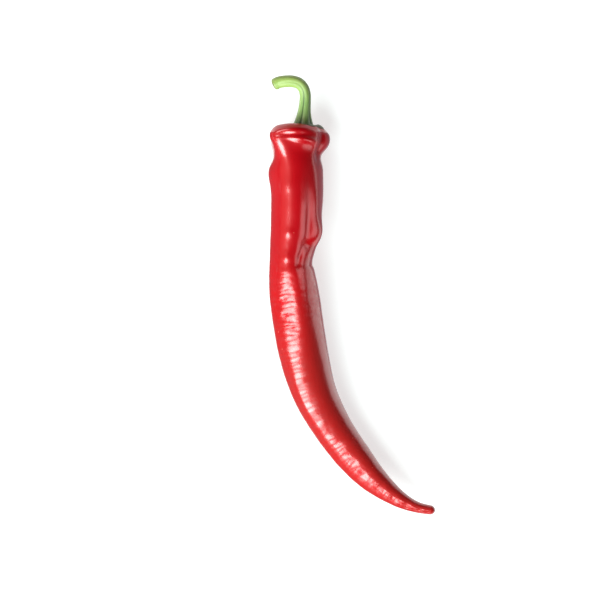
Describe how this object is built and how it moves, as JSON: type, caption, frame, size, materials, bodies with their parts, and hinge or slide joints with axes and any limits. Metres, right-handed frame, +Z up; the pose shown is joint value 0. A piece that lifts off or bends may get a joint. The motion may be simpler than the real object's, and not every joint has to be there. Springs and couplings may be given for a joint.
{
  "type": "chilli pepper",
  "caption": "Long, gently curved red chilli pepper lying on its side, with a lobed shoulder, a thin tip, a toothed green calyx and a hooked green stem.",
  "frame": {"origin": "on the surface that the pepper lies on, under the middle of its bounding box", "axes": "+Y along the pepper towards its stem end, +Z up from the surface, +X to the side that the tip bends to"},
  "size_m": [0.06, 0.1577, 0.0208],
  "materials": {
    "red_skin": "gloss",
    "green_stem": "satin"
  },
  "bodies": {
    "root": {"fruit": "red_skin", "stem": "green_stem"}
  },
  "joints": []
}
